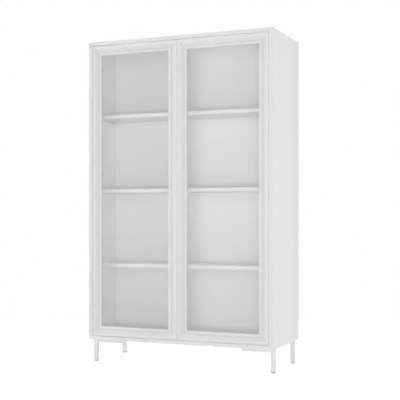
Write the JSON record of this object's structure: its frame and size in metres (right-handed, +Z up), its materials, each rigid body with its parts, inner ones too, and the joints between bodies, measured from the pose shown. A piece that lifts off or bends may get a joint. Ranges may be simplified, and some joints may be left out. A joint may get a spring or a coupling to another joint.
{
  "type": "bookcase with glass doors",
  "caption": "Tall white bookcase with a pair of mitre-framed glass doors on concealed hinges, shelves behind them, and slim square steel legs.",
  "frame": {"origin": "on the floor, midway across the width and midway between the carcass's front and back edges", "axes": "+Z up, +X to the right for someone facing the doors, the doors face -Y"},
  "size_m": [0.92, 0.39, 1.52],
  "materials": {
    "white_board": "smooth satin white on board",
    "door_frame": "smooth satin white on moulded fibreboard",
    "back_board": "smooth matt white on thin fibreboard",
    "clear_glass": "clear float glass",
    "glazing_strip": "off-white extruded plastic",
    "leg_steel": "white powder coat on steel tube",
    "nickel_steel": "nickel-plated pressed steel",
    "glide_plastic": "pale grey moulded plastic",
    "latch_plastic": "off-white moulded plastic",
    "plunger_plastic": "grey moulded plastic with a soft tip"
  },
  "bodies": {
    "carcass": {"left_side_panel": "white_board", "right_side_panel": "white_board", "top_panel": "white_board", "bottom_panel": "white_board", "back_panel": "back_board", "shelf_upper": "white_board", "shelf_middle": "white_board", "shelf_lower": "white_board", "upper_shelf_pin_left_front": "nickel_steel", "upper_shelf_pin_left_back": "nickel_steel", "upper_shelf_pin_right_front": "nickel_steel", "upper_shelf_pin_right_back": "nickel_steel", "lower_shelf_pin_left_front": "nickel_steel", "lower_shelf_pin_left_back": "nickel_steel", "lower_shelf_pin_right_front": "nickel_steel", "lower_shelf_pin_right_back": "nickel_steel", "front_left_leg": "leg_steel", "front_right_leg": "leg_steel", "back_left_leg": "leg_steel", "back_right_leg": "leg_steel", "front_left_glide": "glide_plastic", "front_right_glide": "glide_plastic", "back_left_glide": "glide_plastic", "back_right_glide": "glide_plastic", "left_hinge_arm_upper": "nickel_steel", "left_hinge_arm_middle": "nickel_steel", "left_hinge_arm_lower": "nickel_steel", "right_hinge_arm_upper": "nickel_steel", "right_hinge_arm_middle": "nickel_steel", "right_hinge_arm_lower": "nickel_steel", "left_latch_housing": "latch_plastic", "right_latch_housing": "latch_plastic"},
    "left_door": {"left_door_hinge_stile": "door_frame", "left_door_meeting_stile": "door_frame", "left_door_top_rail": "door_frame", "left_door_bottom_rail": "door_frame", "left_door_glass": "clear_glass", "left_door_glazing_strip": "glazing_strip", "left_hinge_cup_upper": "nickel_steel", "left_hinge_cup_middle": "nickel_steel", "left_hinge_cup_lower": "nickel_steel"},
    "right_door": {"right_door_hinge_stile": "door_frame", "right_door_meeting_stile": "door_frame", "right_door_top_rail": "door_frame", "right_door_bottom_rail": "door_frame", "right_door_glass": "clear_glass", "right_door_glazing_strip": "glazing_strip", "right_hinge_cup_upper": "nickel_steel", "right_hinge_cup_middle": "nickel_steel", "right_hinge_cup_lower": "nickel_steel"},
    "left_links": {"left_hinge_link_upper": "nickel_steel", "left_hinge_link_middle": "nickel_steel", "left_hinge_link_lower": "nickel_steel"},
    "right_links": {"right_hinge_link_upper": "nickel_steel", "right_hinge_link_middle": "nickel_steel", "right_hinge_link_lower": "nickel_steel"},
    "left_plunger": {"left_latch_plunger": "plunger_plastic"},
    "right_plunger": {"right_latch_plunger": "plunger_plastic"}
  },
  "joints": [
    {"name": "left_door_swing", "type": "hinge", "parent": "carcass", "child": "left_door", "pos_m": [-0.427, -0.1876, 0.814], "axis": [0, 0, -1], "range_deg": [0, 95]},
    {"name": "right_door_swing", "type": "hinge", "parent": "carcass", "child": "right_door", "pos_m": [0.427, -0.1876, 0.814], "axis": [0, 0, 1], "range_deg": [0, 95]},
    {"name": "left_links_turn", "type": "hinge", "parent": "carcass", "child": "left_links", "pos_m": [-0.4111, -0.1703, 0.814], "axis": [0, 0, 1], "range_deg": [0, 25]},
    {"name": "right_links_turn", "type": "hinge", "parent": "carcass", "child": "right_links", "pos_m": [0.4111, -0.1703, 0.814], "axis": [0, 0, -1], "range_deg": [0, 25]},
    {"name": "left_latch_press", "type": "slide", "parent": "carcass", "child": "left_plunger", "axis": [0, 1, 0], "range_m": [0, 0.003], "stiffness_N_per_m": 1500, "springref_m": -0.002},
    {"name": "right_latch_press", "type": "slide", "parent": "carcass", "child": "right_plunger", "axis": [0, 1, 0], "range_m": [0, 0.003], "stiffness_N_per_m": 1500, "springref_m": -0.002}
  ],
  "couplings": [
    {"joint": "left_links_turn", "follows": "left_door_swing", "ratio": 0.2605},
    {"joint": "right_links_turn", "follows": "right_door_swing", "ratio": 0.2605}
  ]
}
